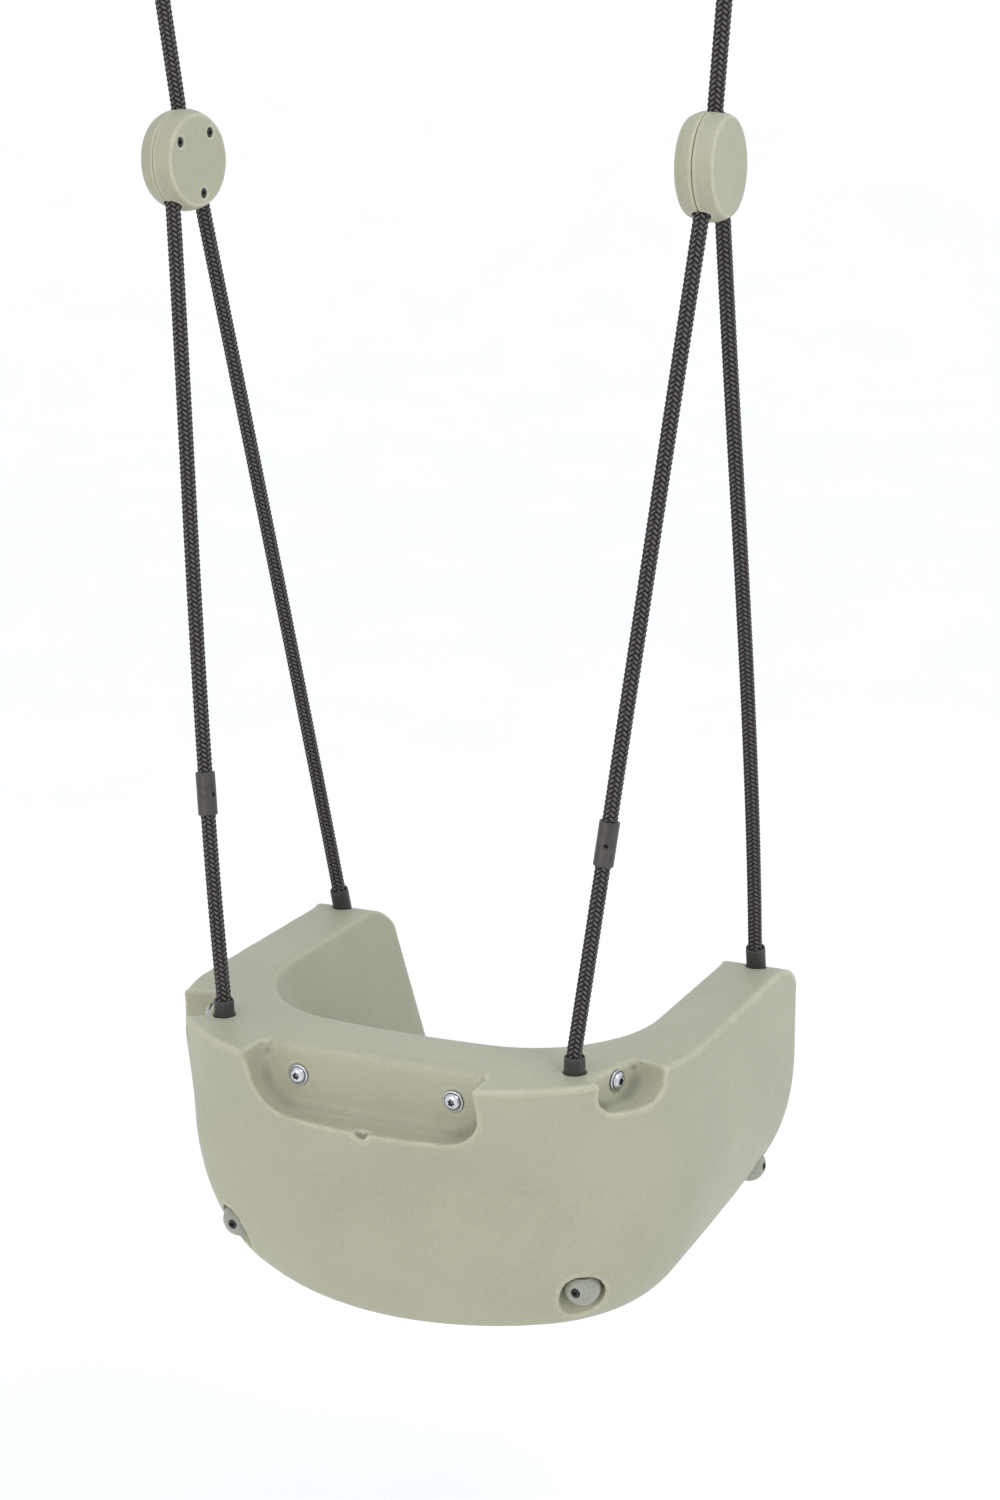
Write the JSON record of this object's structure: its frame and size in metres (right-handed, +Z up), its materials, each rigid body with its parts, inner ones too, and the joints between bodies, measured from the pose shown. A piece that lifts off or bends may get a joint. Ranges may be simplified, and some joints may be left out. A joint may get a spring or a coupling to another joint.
{
  "type": "toddler bucket swing",
  "caption": "Moulded toddler swing seat, open at the front, hung on braided ropes that meet at discs below swivel-pin hangers.",
  "frame": {"origin": "midway between the tops of the hangers, on the beam's underside", "axes": "+Z up, +Y towards the seat's open front, +X to the seated child's right when looking along +Y"},
  "size_m": [0.56, 0.4124, 1.2225],
  "materials": {
    "sage_plastic": "fine leather-like grain, satin",
    "cap_plastic": "smooth satin",
    "braid": "round braided polyester, near black",
    "black_plastic": "satin",
    "dark_metal": "dark anodised, satin",
    "zinc_steel": "bright zinc plated",
    "black_steel": "black oxide",
    "brass": "plain turned",
    "aluminium": "cast, satin",
    "nylon": "natural nylon"
  },
  "bodies": {
    "hangers": {"left_hanger": "zinc_steel", "left_hanger_nut": "zinc_steel", "left_hanger_pin": "zinc_steel", "right_hanger": "zinc_steel", "right_hanger_nut": "zinc_steel", "right_hanger_pin": "zinc_steel"},
    "main_ropes": {"left_eye_bush": "nylon", "left_main_rope": "braid", "left_rope_eye": "aluminium", "right_eye_bush": "nylon", "right_main_rope": "braid", "right_rope_eye": "aluminium"},
    "seat": {"back_insert_left": "brass", "back_insert_right": "brass", "back_recess_bolt_left": "zinc_steel", "back_recess_bolt_right": "zinc_steel", "left_back_ferrule": "black_plastic", "left_back_rope": "braid", "left_back_rope_sleeve": "dark_metal", "left_back_stopper": "cap_plastic", "left_back_stopper_screw": "black_steel", "left_disc_inner_half": "sage_plastic", "left_disc_outer_half": "sage_plastic", "left_disc_screw_1": "black_steel", "left_disc_screw_2": "black_steel", "left_disc_screw_3": "black_steel", "left_front_ferrule": "black_plastic", "left_front_rope": "braid", "left_front_stopper": "cap_plastic", "left_front_stopper_screw": "black_steel", "left_main_rope_end": "braid", "left_rope_junction": "aluminium", "right_back_ferrule": "black_plastic", "right_back_rope": "braid", "right_back_rope_sleeve": "dark_metal", "right_back_stopper": "cap_plastic", "right_back_stopper_screw": "black_steel", "right_disc_inner_half": "sage_plastic", "right_disc_outer_half": "sage_plastic", "right_disc_screw_1": "black_steel", "right_disc_screw_2": "black_steel", "right_disc_screw_3": "black_steel", "right_front_ferrule": "black_plastic", "right_front_rope": "braid", "right_front_stopper": "cap_plastic", "right_front_stopper_screw": "black_steel", "right_main_rope_end": "braid", "right_rope_junction": "aluminium", "seat_shell": "sage_plastic", "side_insert_left": "brass", "side_insert_right": "brass", "side_recess_bolt_left": "zinc_steel", "side_recess_bolt_right": "zinc_steel"}
  },
  "joints": [
    {"name": "swing", "type": "hinge", "parent": "hangers", "child": "main_ropes", "pos_m": [0, 0, -0.048], "axis": [1, 0, 0], "range_deg": [-60, 60]},
    {"name": "seat_tilt", "type": "hinge", "parent": "main_ropes", "child": "seat", "pos_m": [0, -0.001, -0.2156], "axis": [1, 0, 0], "range_deg": [-25, 25]}
  ]
}
